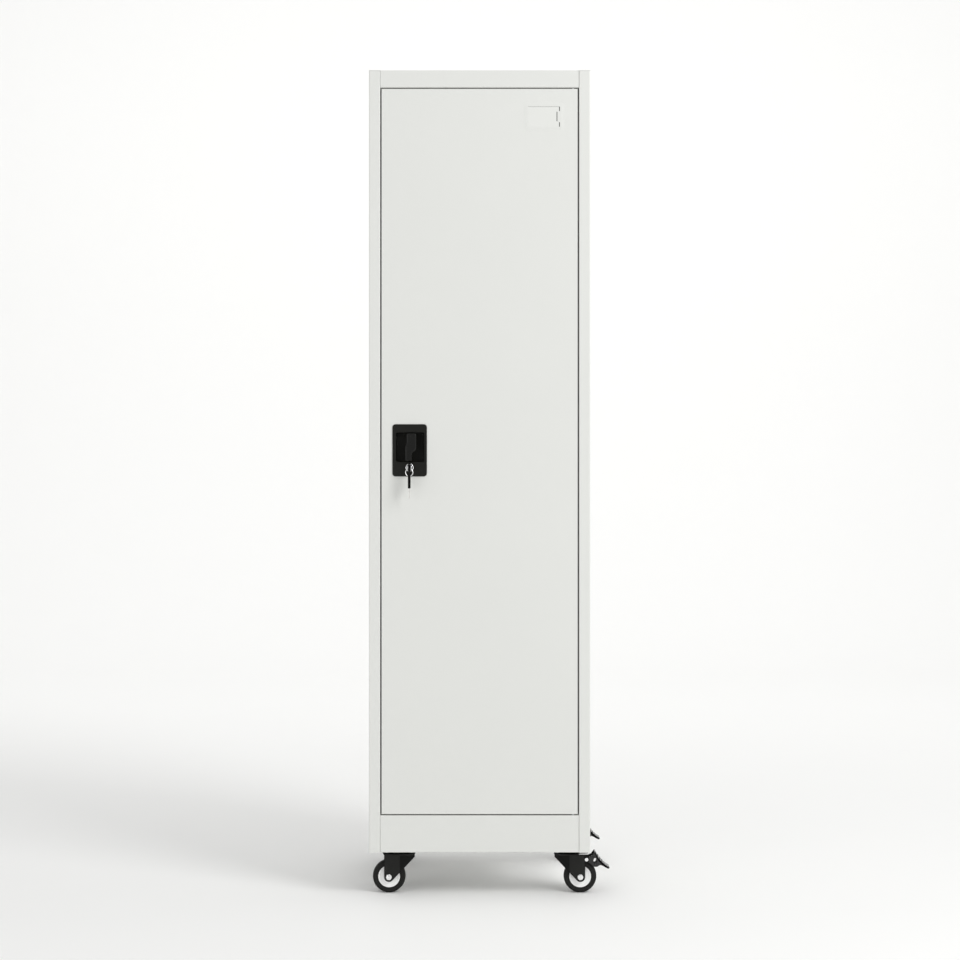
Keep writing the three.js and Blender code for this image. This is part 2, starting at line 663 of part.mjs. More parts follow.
// ---- Casters ----
// Drawn with the swivel's axis at x = 0 and the wheel trailing towards +X, then turned into place.
const ease = CASTER.foot * Math.SQRT1_2;
const legTop = CASTER.crownTop;
const plateUnder = CASTER.plateTop - CASTER.plate;
function plateGeometry() {
  const shape = roundedRect(0, 0, CASTER.plateX, CASTER.plateY, 5);
  for (const sx of [-1, 1]) {
    for (const sy of [-1, 1]) {
      shape.holes.push(new THREE.Path().absarc(sx * 28, sy * 23.5, 3.4, 0, 2 * Math.PI, true));
    }
  }
  const options = { depth: CASTER.plate, bevelEnabled: false, curveSegments: 3 };
  const flat = new THREE.ExtrudeGeometry(shape, options).translate(0, 0, plateUnder);
  const race = [
    [0, 81.5],
    [8.5, 82.5],
    [8.5, legTop - CASTER.leg - GAP],
    [5.5, legTop - CASTER.leg - GAP],
    [5.5, legTop + GAP],
    [24, legTop + GAP],
    [24, plateUnder - 3],
    [20, plateUnder + 1],
    [0, plateUnder + 1],
  ];
  return join(flat, turned(race, "z", 0, 0, 0));
}

// The fork: a crown under the race and two legs that narrow to the axle.
function forkGeometry(braked) {
  const legShape = new THREE.Shape();
  const t = CASTER.offset;
  const z = CASTER.wheel;
  legShape.moveTo(-35, legTop);
  legShape.lineTo(-35, legTop - 7);
  legShape.lineTo(t - ease, z - ease);
  legShape.absarc(t, z, CASTER.foot, 1.25 * Math.PI, 2 * Math.PI);
  if (braked) {
    legShape.lineTo(t + CASTER.foot, 66);
    legShape.lineTo(PEDAL.pivotT + 5, 72);
    legShape.lineTo(PEDAL.pivotT + 5, legTop - 2);
    legShape.lineTo(PEDAL.pivotT + 2, legTop);
  } else {
    legShape.lineTo(t + CASTER.foot, legTop);
  }
  const near = CASTER.innerHalf;
  const far = near + CASTER.leg;
  const crownEnd = t + CASTER.foot;
  const tools = [
    rod("y", CASTER.axle + GAP, 60, t, 0, z),
    rod("z", 5.5 + GAP, 20, 0, 0, legTop),
  ];
  if (braked) tools.push(rod("y", 2.5 + GAP, 60, PEDAL.pivotT, 0, PEDAL.pivotZ, 16));
  const whole = join(
    slab(legShape, -far, -near),
    slab(legShape, near, far),
    block(-35, crownEnd, -far, far, legTop - CASTER.leg, legTop),
  );
  return cut(whole, ...tools);
}

function hubGeometry() {
  const profile = [
    [CASTER.axle + GAP, -15],
    [8, -15],
    [8, -7],
    [21, -7],
    [21, -11],
    [CASTER.disc, -11],
    [CASTER.disc, 11],
    [21, 11],
    [21, 7],
    [8, 7],
    [8, 15],
    [CASTER.axle + GAP, 15],
    [CASTER.axle + GAP, -15],
  ];
  return turned(profile, "y", CASTER.offset, 0, CASTER.wheel, 24);
}

function tyreGeometry() {
  const bore = CASTER.disc + GAP;
  const half = CASTER.tread / 2;
  const profile = [
    [bore, -half + 0.5],
    [CASTER.disc + 4, -half],
    [CASTER.wheel - 3.5, -half],
    [CASTER.wheel, -half + 5],
    [CASTER.wheel, half - 5],
    [CASTER.wheel - 3.5, half],
    [CASTER.disc + 4, half],
    [bore, half - 0.5],
    [bore, -half + 0.5],
  ];
  return turned(profile, "y", CASTER.offset, 0, CASTER.wheel, 28);
}

function axleGeometry() {
  const seat = CASTER.innerHalf + CASTER.leg + GAP;
  const shank = rod("y", CASTER.axle, 2 * seat + 8, CASTER.offset, 0, CASTER.wheel);
  const heads = [-1, 1].map((side) =>
    rod("y", 6.5, 5, CASTER.offset, side * (seat + 2.5), CASTER.wheel, 6),
  );
  return join(shank, ...heads);
}

// The brake pedal: a curved tread on two cheeks, with a shoe bar over the tyre and a pivot pin.
function pedalGeometry() {
  const { pivotT, pivotZ } = PEDAL;
  const cheek = new THREE.Shape();
  cheek.moveTo(pivotT - 4, pivotZ + 3);
  cheek.lineTo(pivotT + 12, 85);
  cheek.lineTo(56, 94.5);
  cheek.lineTo(59, 93.5);
  cheek.quadraticCurveTo(66, 76.5, 90, 59);
  cheek.lineTo(88, 55.5);
  cheek.lineTo(70, 65);
  cheek.lineTo(62, 60);
  cheek.lineTo(55, 60);
  cheek.lineTo(49, 66);
  cheek.lineTo(pivotT - 1, pivotZ - 4);
  cheek.lineTo(pivotT - 4, pivotZ + 3);
  cheek.holes.push(new THREE.Path().absellipse(57.9, 72.3, 4, 8, 0, 2 * Math.PI));
  const tread = new THREE.Shape();
  tread.moveTo(56.4, 94.8);
  tread.lineTo(59, 94.4);
  tread.quadraticCurveTo(66.6, 77.2, 91, 59.6);
  tread.quadraticCurveTo(91.6, 55.4, 87.4, 56);
  tread.quadraticCurveTo(64.6, 72.6, 56.4, 92);
  tread.lineTo(56.4, 94.8);
  const cheekInner = 13;
  const cheekOuter = CASTER.innerHalf - 0.6;
  return join(
    slab(cheek, -cheekOuter, -cheekInner, 5),
    slab(cheek, cheekInner, cheekOuter, 5),
    slab(tread, -cheekOuter, cheekOuter, 5),
    rod("y", 2.5, 2 * 18.2, pivotT, 0, pivotZ, 16),
    rod("y", 2.4, 2 * cheekInner + 2, pivotT + 9.5, 0, pivotZ - 3.4, 12),
  );
}

const CASTERS = [
  { name: "front_left", x: CASTER.leftX, y: -CASTER.y, trail: -1, braked: false },
  { name: "front_right", x: CASTER.rightX, y: -CASTER.y, trail: 1, braked: true },
  { name: "rear_left", x: CASTER.leftX, y: CASTER.y, trail: -1, braked: false },
  { name: "rear_right", x: CASTER.rightX, y: CASTER.y, trail: 1, braked: true },
];
for (const caster of CASTERS) {
  const pieces = [
    ["plate", plateGeometry(), BLACK_STEEL],
    ["fork", forkGeometry(caster.braked), BLACK_STEEL],
    ["hub", hubGeometry(), WHITE_PLASTIC],
    ["tyre", tyreGeometry(), RUBBER],
    ["axle", axleGeometry(), ZINC],
  ];
  if (caster.braked) pieces.push(["brake_pedal", pedalGeometry(), BLACK_STEEL]);
  for (const [part, geometry, look] of pieces) {
    const mesh = add(`caster_${caster.name}_${part}`, geometry, look);
    if (caster.trail < 0) mesh.rotation.z = Math.PI;
    mesh.position.set(caster.x, caster.y, 0);
  }
}

// The pedals reach past the right side and the keys past the front.
root.position.set(-23, 17, 0);

export default root;
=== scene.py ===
"""The locker cabinet's looks: fine geometry and materials round the frame, floor and lights."""

import math

import bmesh
import bpy
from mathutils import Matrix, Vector
from mathutils.geometry import tessellate_polygon


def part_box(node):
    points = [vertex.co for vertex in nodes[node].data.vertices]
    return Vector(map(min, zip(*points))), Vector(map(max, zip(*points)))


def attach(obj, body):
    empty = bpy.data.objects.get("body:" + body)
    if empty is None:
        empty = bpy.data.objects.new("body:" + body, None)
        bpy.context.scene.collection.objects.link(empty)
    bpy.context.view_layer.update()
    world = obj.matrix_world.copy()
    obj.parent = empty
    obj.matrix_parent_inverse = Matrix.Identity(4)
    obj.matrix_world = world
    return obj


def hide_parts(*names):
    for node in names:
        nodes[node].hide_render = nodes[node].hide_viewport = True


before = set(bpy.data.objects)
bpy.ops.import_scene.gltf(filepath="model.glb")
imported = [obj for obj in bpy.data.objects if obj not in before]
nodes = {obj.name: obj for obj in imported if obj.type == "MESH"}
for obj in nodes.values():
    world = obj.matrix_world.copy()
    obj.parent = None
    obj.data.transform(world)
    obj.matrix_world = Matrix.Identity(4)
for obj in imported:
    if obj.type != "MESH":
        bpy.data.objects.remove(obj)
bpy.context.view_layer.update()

# Sizes are in millimetres from the middle of the cabinet's body at floor level, with the front
# towards -Y. SHIFT carries that point to the row frame, in metres.
MM = 0.001
SHIFT = Vector((-0.023, 0.017, 0.0))

FRONT, BACK = -225.0, 225.0
DOOR_FRONT = -224.8
# The handle housing: its plate, the floor of its pocket, and the back of its bucket.
PLATE_FRONT, PLATE_BACK = -227.3, -225.1
RECESS_FLOOR, BUCKET_BACK = -212.3, -209.8
# The square tails of the grip and the lock plug, which turn the cam and the tab.
TAIL_FRONT, TAIL_BACK = -210.0, -206.7
LOCK_X, LOCK_Z = -158.0, 972.0
GRIP_X, GRIP_Z = -156.0, 1017.5
RING_Y, RING_RADIUS = -249.0, 8.2
RING_TOP = LOCK_Z - 2.8
KEY_HOLE = 2.4
BLADE_HALF = 1.1
RAIL_HEIGHT, RAIL_HALF = 1500.0, 245.3
# Each caster: its swivel's x and y, and the side its wheel trails to.
CASTERS = {
    "front_left": (-183.0, -165.0, -1),
    "front_right": (206.0, -165.0, 1),
    "rear_left": (-183.0, 165.0, -1),
    "rear_right": (206.0, 165.0, 1),
}
# The axle stands TRAIL beside the swivel and WHEEL above the floor; the pedal turns at PEDAL_PIN.
TRAIL, WHEEL = 24.0, 37.5
PEDAL_PIN = (38.0, 77.5)
# How far a lathed profile that runs along its axis stays clear of it.
TIP = 0.01
# Corners nearer than WELD metres are one, and a corner within NEAR metres of a plane lies in it.
WELD, NEAR = 1e-7, 1e-5


# ---- Materials ----
def surface(
    name,
    colour,
    rough,
    metal=0.0,
    grain=0.0015,
    depth=0.02,
    drift=0.03,
    rough_drift=0.06,
    coat=0.0,
    specular=0.5,
    stretch=(1.0, 1.0, 1.0),
    speckle=0.0,
):
    """A procedural surface: grain is its relief's size in metres, drift its slow change of tone."""
    material = bpy.data.materials.new(name)
    material.use_nodes = True
    tree = material.node_tree
    shader = tree.nodes["Principled BSDF"]
    shader.inputs["Metallic"].default_value = metal
    shader.inputs["Specular IOR Level"].default_value = specular
    shader.inputs["Coat Weight"].default_value = coat
    shader.inputs["Coat Roughness"].default_value = 0.25
    place = tree.nodes.new("ShaderNodeTexCoord")
    mapping = tree.nodes.new("ShaderNodeMapping")
    mapping.inputs["Scale"].default_value = stretch
    tree.links.new(place.outputs["Object"], mapping.inputs["Vector"])

    slow = tree.nodes.new("ShaderNodeTexNoise")
    slow.inputs["Scale"].default_value = 4.0
    slow.inputs["Detail"].default_value = 4.0
    tree.links.new(place.outputs["Object"], slow.inputs["Vector"])
    fine = tree.nodes.new("ShaderNodeTexNoise")
    fine.inputs["Scale"].default_value = 1.0 / grain
    fine.inputs["Detail"].default_value = 3.0
    tree.links.new(mapping.outputs["Vector"], fine.inputs["Vector"])

    tone = tree.nodes.new("ShaderNodeMix")
    tone.data_type = "RGBA"
    tone.inputs["A"].default_value = (*[c * (1 - drift) for c in colour], 1.0)
    tone.inputs["B"].default_value = (*[min(1.0, c * (1 + drift)) for c in colour], 1.0)
    tree.links.new(slow.outputs["Fac"], tone.inputs["Factor"])
    last = tone.outputs["Result"]
    if speckle:
        fleck = tree.nodes.new("ShaderNodeMix")
        fleck.data_type = "RGBA"
        fleck.blend_type = "MULTIPLY"
        spread = tree.nodes.new("ShaderNodeMapRange")
        spread.inputs["From Min"].default_value = 0.3
        spread.inputs["From Max"].default_value = 0.7
        spread.inputs["To Min"].default_value = 1.0 - speckle
        spread.inputs["To Max"].default_value = 1.0
        tree.links.new(fine.outputs["Fac"], spread.inputs["Value"])
        fleck.inputs["Factor"].default_value = 1.0
        tree.links.new(last, fleck.inputs["A"])
        tree.links.new(spread.outputs["Result"], fleck.inputs["B"])
        last = fleck.outputs["Result"]
    tree.links.new(last, shader.inputs["Base Color"])

    gloss = tree.nodes.new("ShaderNodeMapRange")
    gloss.inputs["To Min"].default_value = max(0.03, rough - rough_drift)
    gloss.inputs["To Max"].default_value = rough + rough_drift
    tree.links.new(slow.outputs["Fac"], gloss.inputs["Value"])
    tree.links.new(gloss.outputs["Result"], shader.inputs["Roughness"])

    relief = tree.nodes.new("ShaderNodeBump")
    relief.inputs["Strength"].default_value = min(1.0, depth * 10)
    relief.inputs["Distance"].default_value = grain * 0.1
    tree.links.new(fine.outputs["Fac"], relief.inputs["Height"])
    tree.links.new(relief.outputs["Normal"], shader.inputs["Normal"])
    return material


paint = surface(
    "body_paint", (0.702, 0.709, 0.683), 0.42, grain=0.0011, depth=0.03, drift=0.012, coat=0.15
)
inner_paint = surface(
    "inner_paint", (0.70, 0.707, 0.68), 0.46, grain=0.0011, depth=0.03, drift=0.015
)
housing_plastic = surface(
    "housing_plastic",
    (0.0065, 0.0065, 0.0050),
    0.36,
    grain=0.0005,
    depth=0.05,
    drift=0.06,
    specular=0.21,
)
pocket_plastic = surface(
    "pocket_plastic",
    (0.0062, 0.0062, 0.0048),
    0.5,
    grain=0.0005,
    depth=0.05,
    drift=0.06,
    specular=0.12,
)
grip_plastic = surface(
    "grip_plastic",
    (0.0035, 0.0035, 0.0027),
    0.24,
    grain=0.0005,
    depth=0.03,
    drift=0.06,
    specular=0.26,
)
key_plastic = surface(
    "key_plastic",
    (0.006, 0.006, 0.006),
    0.45,
    grain=0.0004,
    depth=0.05,
    drift=0.08,
    specular=0.15,
)
nylon = surface(
    "nylon", (0.02, 0.02, 0.02), 0.5, grain=0.0006, depth=0.04, drift=0.08, specular=0.3
)
caster_steel = surface(
    "caster_steel",
    (0.0055, 0.0055, 0.0050),
    0.45,
    grain=0.0007,
    depth=0.04,
    drift=0.15,
    specular=0.12,
)
gloss_steel = surface(
    "gloss_steel",
    (0.0045, 0.0045, 0.0042),
    0.24,
    grain=0.0007,
    depth=0.03,
    drift=0.15,
    specular=0.4,
)
# Painted light: a lighter copy of the caster steel for the raised leg panels, standing in for the
# light their flat faces catch more than the sloped parts beside them.
painted_light_leg_steel = surface(
    "painted_light_leg_steel",
    (0.0120, 0.0120, 0.0108),
    0.42,
    grain=0.0007,
    depth=0.04,
    drift=0.15,
    specular=0.2,
)
pedal_steel = surface(
    "pedal_steel",
    (0.0030, 0.0030, 0.0028),
    0.2,
    grain=0.0006,
    depth=0.03,
    drift=0.15,
    specular=0.35,
    coat=0.5,
)
tyre_rubber = surface(
    "tyre_rubber",
    (0.011, 0.011, 0.010),
    0.66,
    grain=0.0012,
    depth=0.07,
    drift=0.25,
    specular=0.22,
)
hub_plastic = surface(
    "hub_plastic", (0.96, 0.96, 0.95), 0.34, grain=0.0009, depth=0.02, drift=0.012
)
chrome = surface(
    "chrome",
    (0.90, 0.90, 0.91),
    0.10,
    metal=1.0,
    grain=0.002,
    depth=0.004,
    drift=0.02,
    rough_drift=0.03,
)
zinc = surface(
    "zinc",
    (0.62, 0.63, 0.64),
    0.32,
    metal=1.0,
    grain=0.0016,
    depth=0.02,
    drift=0.08,
    speckle=0.12,
)
bright_zinc = surface(
    "bright_zinc",
    (0.95, 0.95, 0.95),
    0.26,
    metal=1.0,
    grain=0.0012,
    depth=0.02,
    drift=0.04,
    speckle=0.05,
)
nickel = surface(
    "nickel",
    (0.80, 0.79, 0.76),
    0.26,
    metal=1.0,
    grain=0.0006,
    depth=0.03,
    drift=0.05,
    stretch=(1.0, 1.0, 0.08),
)
card_white = surface(
    "card", (0.712, 0.719, 0.693), 0.75, grain=0.0004, depth=0.03, drift=0.01, specular=0.3
)


# ---- Geometry helpers ----
def finish_mesh(name, verts, faces, material, body, angle=38.0):
    """A mesh from millimetre corners, with its faces turned outwards and its soft edges smooth."""
    mesh = bpy.data.meshes.new(name)
    mesh.from_pydata([Vector(v) * MM + SHIFT for v in verts], [], faces)
    build = bmesh.new()
    build.from_mesh(mesh)
    bmesh.ops.remove_doubles(build, verts=build.verts, dist=WELD)
    bmesh.ops.dissolve_degenerate(build, edges=build.edges, dist=WELD)
    bmesh.ops.recalc_face_normals(build, faces=build.faces)
    build.to_mesh(mesh)
    build.free()
    mesh.shade_smooth()
    mesh.set_sharp_from_angle(angle=math.radians(angle))
    mesh.materials.append(material)
    piece = bpy.data.objects.new(name, mesh)
    bpy.context.scene.collection.objects.link(piece)
    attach(piece, body)
    return piece


def lathe(profile, axis, centre, segments=72):
    """Corners and faces of a [radius, height] profile turned about an axis through centre."""
    verts = []
    for k in range(segments):
        a = 2 * math.pi * k / segments
        c, s = math.cos(a), math.sin(a)
        for r, h in profile:
            spot = {"z": (r * c, r * s, h), "y": (r * c, h, r * s), "x": (h, r * c, r * s)}[axis]
            verts.append(tuple(p + q for p, q in zip(spot, centre)))
    n = len(profile)
    faces = []
    for k in range(segments):
        m = (k + 1) % segments
        for i in range(n):
            j = (i + 1) % n
            faces.append((k * n + i, k * n + j, m * n + j, m * n + i))
    return verts, faces


def merged(*parts):
    """Several (corners, faces) pairs as one."""
    verts, faces = [], []
    for some_verts, some_faces in parts:
        base = len(verts)
        verts += some_verts
        faces += [tuple(i + base for i in face) for face in some_faces]
    return verts, faces


def rounded(points, radius, steps):
    """A closed outline with its corners turned to arcs. radius is one number or one per corner."""
    count = len(points)
    radii = radius if isinstance(radius, (list, tuple)) else [radius] * count
    outline = []
    for i, corner in enumerate(points):
        here = Vector(corner)
        to_last = Vector(points[i - 1]) - here
        to_next = Vector(points[(i + 1) % count]) - here
        half = to_last.angle(to_next) / 2
        reach = min(radii[i] / math.tan(half), to_last.length * 0.49, to_next.length * 0.49)
        if reach < 1e-3:
            outline.append(here)
            continue
        start = here + to_last.normalized() * reach
        end = here + to_next.normalized() * reach
        for k in range(steps + 1):
            t = k / steps
            outline.append(start * (1 - t) ** 2 + here * 2 * t * (1 - t) + end * t**2)
    return outline


def ellipse(x, z, a, b, count):
    angles = [2 * math.pi * k / count for k in range(count)]
    return [Vector((x + a * math.cos(t), z + b * math.sin(t))) for t in angles]


def rectangle(x, z, width, height, corner, steps=6):
    w, h = width / 2, height / 2
    return rounded([(x - w, z - h), (x + w, z - h), (x + w, z + h), (x - w, z + h)], corner, steps)


def area_of(loop):
    return sum(a.x * b.y - b.x * a.y for a, b in zip(loop, loop[1:] + loop[:1])) / 2


def inset(loop, amount):
    """An anticlockwise loop drawn in by amount, or spread where amount is negative."""
    moved = []
    count = len(loop)
    for i, here in enumerate(loop):
        a = (here - loop[i - 1]).normalized()
        b = (loop[(i + 1) % count] - here).normalized()
        normal = Vector((-a.y - b.y, a.x + b.x))
        if normal.length < 1e-6:
            normal = Vector((-a.y, a.x))
        normal.normalize()
        lean = max(0.4, normal.dot(Vector((-a.y, a.x))))
        moved.append(here + normal * (amount / lean))
    return moved


def spot_in(plane, u, v, depth):
    """A point of a flat drawing in space: the drawing's plane is named by its two axes."""
    return {"xz": (u, depth, v), "yz": (depth, u, v), "xy": (u, v, depth)}[plane]


def flat(loops, depth):
    """A flat skin that faces the front or back, between an outline and the holes in it."""
    rings = [[Vector((p.x, p.y, 0)) for p in loop] for loop in loops]
    verts = [spot_in("xz", p.x, p.y, depth) for ring in rings for p in ring]
    return verts, [tuple(tri) for tri in tessellate_polygon(rings)]


def plate(outer, holes, plane, low, high, edge_low, edge_high, steps=3):
    """A flat piece with holes between two depths, its edges rounded by edge_low and edge_high."""
    loops = [list(outer) if area_of(list(outer)) > 0 else list(outer)[::-1]]
    for hole in holes:
        hole = list(hole)
        loops.append(hole if area_of(hole) < 0 else hole[::-1])
    rows = []
    for k in range(steps + 1):
        a = math.pi / 2 * k / steps
        rows.append((edge_low * (1 - math.sin(a)), low + edge_low * (1 - math.cos(a))))
    for k in range(steps + 1):
        a = math.pi / 2 * (1 - k / steps)
        rows.append((edge_high * (1 - math.sin(a)), high - edge_high * (1 - math.cos(a))))
    verts, faces = [], []
    ends = {0: [], len(rows) - 1: []}
    starts = []
    for r, (shrink, depth) in enumerate(rows):
        starts.append([])
        for loop in loops:
            ring = inset(loop, shrink) if shrink > 1e-6 else loop
            starts[-1].append(len(verts))
            verts += [spot_in(plane, p.x, p.y, depth) for p in ring]
            if r in ends:
                ends[r].append([Vector((p.x, p.y, 0.0)) for p in ring])
    for r in range(len(rows) - 1):
        for k, loop in enumerate(loops):
            n = len(loop)
            a, b = starts[r][k], starts[r + 1][k]
            faces += [(a + i, a + (i + 1) % n, b + (i + 1) % n, b + i) for i in range(n)]
    for r, rings in ends.items():
        base = starts[r][0]
        faces += [tuple(base + i for i in tri) for tri in tessellate_polygon(rings)]
    return verts, faces


def loft(loops, plane):
    """A skin through loops of the same count, each (outline, depth)."""
    verts, faces = [], []
    n = len(loops[0][0])
    for outline, depth in loops:
        verts += [spot_in(plane, p.x, p.y, depth) for p in outline]
    for r in range(len(loops) - 1):
        a, b = r * n, (r + 1) * n
        faces += [(a + i, a + (i + 1) % n, b + (i + 1) % n, b + i) for i in range(n)]
    return verts, faces


def bar(x0, x1, y0, y1, z0, z1, edge):
    """A block with softened edges."""
    outline = rectangle((x0 + x1) / 2, (z0 + z1) / 2, x1 - x0, z1 - z0, edge)
    return plate(outline, [], "xz", y0, y1, edge, edge)


# ---- Sheet metal and other pieces that keep their CAD shape ----
def coated(name, material):
    """A CAD node with its material and smooth bends."""
    piece = nodes[name]
    piece.data.materials.clear()
    piece.data.materials.append(material)
    piece.data.shade_smooth()
    piece.data.set_sharp_from_angle(angle=math.radians(40.0))
    return piece


def dress(name, material, edge):
    """Gives a CAD node its material and breaks its sharp edges by edge millimetres."""
    breaker = coated(name, material).modifiers.new("edges", "BEVEL")
    breaker.width = edge * MM
    breaker.segments = 2
    breaker.limit_method = "ANGLE"
    breaker.angle_limit = math.radians(50.0)
    breaker.harden_normals = True


for name in (
    "side_panel_left",
    "side_panel_right",
    "back_panel",
    "top_panel",
    "base_panel",
    "caster_channel_front",
    "caster_channel_rear",
):
    dress(name, paint, 0.25)
for name in ("shelf", "door_stiffener"):
    dress(name, inner_paint, 0.25)
for name in (
    "hinge_pin_upper",
    "hinge_pin_lower",
    "cam_plate",
    "upper_rod",
    "lower_rod",
    "lock_tab",
):
    dress(name, zinc, 0.2)
for name in ("hinge_bush_upper", "hinge_bush_lower", "rod_guide_upper", "rod_guide_lower"):
    dress(name, nylon, 0.4)
for side in ("left", "right"):
    dress(f"rail_bracket_{side}", zinc, 0.3)
    for end in ("front", "rear"):
        dress(f"shelf_clip_{side}_{end}", zinc, 0.2)
for caster in CASTERS:
    dress(f"caster_{caster}_plate", caster_steel, 0.5)
    dress(f"caster_{caster}_fork", caster_steel, 0.6)

# The door's front edges are bends, so they are rounder than the rest of its edges.
door = coated("door_skin", paint)
door_low, door_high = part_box("door_skin")
weights = door.data.attributes.new("bevel_weight_edge", "FLOAT", "EDGE")
for edge in door.data.edges:
    ends = [door.data.vertices[i].co for i in edge.vertices]
    on_front = all(abs(p.y - door_low.y) < NEAR for p in ends)
    on_side = any(
        all(abs(p[axis] - limit[axis]) < NEAR for p in ends)
        for axis in (0, 2)
        for limit in (door_low, door_high)
    )
    weights.data[edge.index].value = 1.0 if on_front and on_side else 0.0
bend = door.modifiers.new("bends", "BEVEL")
bend.width = 1.0 * MM
bend.segments = 4
bend.limit_method = "WEIGHT"
bend.harden_normals = True


def add(name, part, material, body, node=None, angle=38.0):
    """A visible piece on a body: its mesh and the CAD node it replaces."""
    piece = finish_mesh(name, *part, material, body, angle)
    if node:
        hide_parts(node)


# ---- Coat rail ----
tube = [(8.5, -RAIL_HALF), (8.8, -RAIL_HALF), (10, -RAIL_HALF + 0.6)]
tube += [(r, -h) for r, h in reversed(tube)]
add("rail_tube", lathe(tube, "x", (0, 0, RAIL_HEIGHT)), chrome, "cabinet", "coat_rail")

# ---- Casters ----
# Lathed profiles are drawn as (radius, height); a wheel's heights run from its middle plane.
hub_profile = [
    (4.3, -15),
    (7.4, -15),
    (8, -14.4),
    (8.2, -10.2),
    (9.0, -9.4),
    (18, -9.2),
    (20.2, -9.5),
    (21.4, -10.6),
    (22.3, -11),
    (24.4, -11),
    (25, -10.4),
]
hub_profile += [(r, -h) for r, h in reversed(hub_profile)]
tyre_profile = [
    (25.3, -11.4),
    (26.2, -12),
    (27.4, -12),
    (27.9, -11.7),
    (28.4, -11.7),
    (28.9, -12),
    (32.6, -12),
    (34.6, -11.3),
    (36.2, -9.6),
    (37.1, -6.8),
    (37.5, -3.2),
]
tyre_profile += [(WHEEL, 0)] + [(r, -h) for r, h in reversed(tyre_profile)]
race_profile = [
    (19, 98.8),
    (23.4, 97.6),
    (24.3, 96.4),
    (24.3, 95.9),
    (24.1, 95.4),
    (24.1, 94.9),
    (24.3, 94.4),
    (24.3, 92.9),
    (19, 92.9),
]
shield_profile = [
    (6, 91.1),
    (30, 91.1),
    (30.3, 91.4),
    (30.3, 91.9),
    (29.8, 92.3),
    (25, 92.7),
    (6, 92.7),
]
axle_profile = [(TIP, -18), (4, -18), (4, 18), (TIP, 18)]
PANEL_RADII = [3.0, 3.0, 6.0, 8.0, 8.0, 8.0, 6.0, 8.0]
# The pedal's tread and cheeks from the side, for a wheel that trails to +X from x = 0.
TREAD_OUTLINE = [
    (56.4, 94.6),
    (59.0, 94.2),
    (61.4, 89.2),
    (65.2, 82.6),
    (70.2, 75.6),
    (76.6, 69.2),
    (83.6, 63.8),
    (90.4, 60.0),
    (91.0, 57.8),
    (89.6, 56.0),
    (87.2, 55.9),
    (80.0, 59.4),
    (72.6, 65.2),
    (66.0, 72.0),
    (61.4, 79.0),
    (58.2, 86.0),
    (56.2, 92.4),
]
CHEEK_OUTLINE = [
    (34, 80.5),
    (50, 85),
    (55.8, 93.4),
    (58.4, 92.8),
    (65.4, 79.6),
    (76, 68.8),
    (88, 58.8),
    (87, 56.8),
    (70, 64.8),
    (62.4, 60.2),
    (54.6, 60.2),
    (48.6, 66),
    (37, 73.5),
]
CHEEK_RADII = [3, 6, 1, 1, 8, 20, 1, 1, 6, 5, 5, 5, 3]
CHEEK_HOLE = (57.9, 73.3, 4, 7.1)
PEDAL_HALF, CHEEK_INNER, RIB_HALF = 15.4, 13.0, 11.0


def hexagon(radius, x, z, turn):
    angles = [turn + math.pi / 3 * k for k in range(6)]
    return [Vector((x + radius * math.cos(a), z + radius * math.sin(a))) for a in angles]


def both_sides(near, far):
    """A span from near to far on each side of the middle plane, as (low, high) pairs."""
    return [tuple(sorted((side * near, side * far))) for side in (-1, 1)]


def tread_rib(k):
    """One of the ribs across the tread, on a curve just inside its upper face."""
    t = 0.2 + 0.15 * k
    x = 59.2 + (90.0 - 59.2) * t
    z = 94.4 * (1 - t) ** 2 + 2 * 70.4 * t * (1 - t) + 60.0 * t**2 - 1.5
    return plate(ellipse(x, z, 0.9, 0.9, 12), [], "xz", -RIB_HALF, RIB_HALF, 0.3, 0.3, 2)


def pedal_parts():
    """The brake pedal's tread, cheeks, ribs and shoe bar as one part, and the pin it turns on."""
    tread = rounded(TREAD_OUTLINE, 2.0, 4)
    tread = plate(tread, [], "xz", -PEDAL_HALF, PEDAL_HALF, 1.0, 1.0)
    side, hole = rounded(CHEEK_OUTLINE, CHEEK_RADII, 5), ellipse(*CHEEK_HOLE, 32)
    spans = both_sides(CHEEK_INNER, PEDAL_HALF)
    cheeks = [plate(side, [hole], "xz", low, high, 0.5, 0.5) for low, high in spans]
    ribs = [tread_rib(k) for k in range(5)]
    shoe = [(TIP, -13.5), (2.4, -13.5), (2.4, 13.5), (TIP, 13.5)]
    shoe = lathe(shoe, "y", (47.5, 0, 74.1), 32)
    pin = [(TIP, -18.2), (2.2, -18.2), (2.5, -17.9), (2.5, 17.9), (2.2, 18.2), (TIP, 18.2)]
    pin = lathe(pin, "y", (PEDAL_PIN[0], 0, PEDAL_PIN[1]), 32)
    return merged(tread, *cheeks, *ribs, shoe), pin


def add_to_caster(caster, suffix, part, material, body, node=None, angle=38.0):
    """A piece drawn at a swivel on x = 0, turned half round if its caster trails to the left."""
    x, y, trail = CASTERS[caster]
    verts, faces = part
    placed = [(x + trail * u, y + trail * v, w) for u, v, w in verts], faces
    node = node and f"caster_{caster}_{node}"
    add(f"{caster}_{suffix}", placed, material, body, node, angle)


def axle_bolt():
    """The axle: a bolt head on one side, a locknut on the other, a washer under each."""
    centre = (TRAIL, 0, WHEEL)
    parts = [lathe(axle_profile, "y", centre, 40)]
    for side, nut, washer in zip((-1, 1), both_sides(19.6, 23.6), both_sides(18.6, 19.7)):
        parts.append(plate(hexagon(6.5, TRAIL, WHEEL, 0.2), [], "xz", *nut, 0.5, 0.5))
        parts.append(plate(ellipse(TRAIL, WHEEL, 6.5, 6.5, 40), [], "xz", *washer, 0.2, 0.2))
        dome = [(TIP, side * 23.7), (3.6, side * 23.6), (4.6, side * 23.0), (TIP, side * 22)]
        parts.append(lathe(dome, "y", centre, 32))
    return merged(*parts)


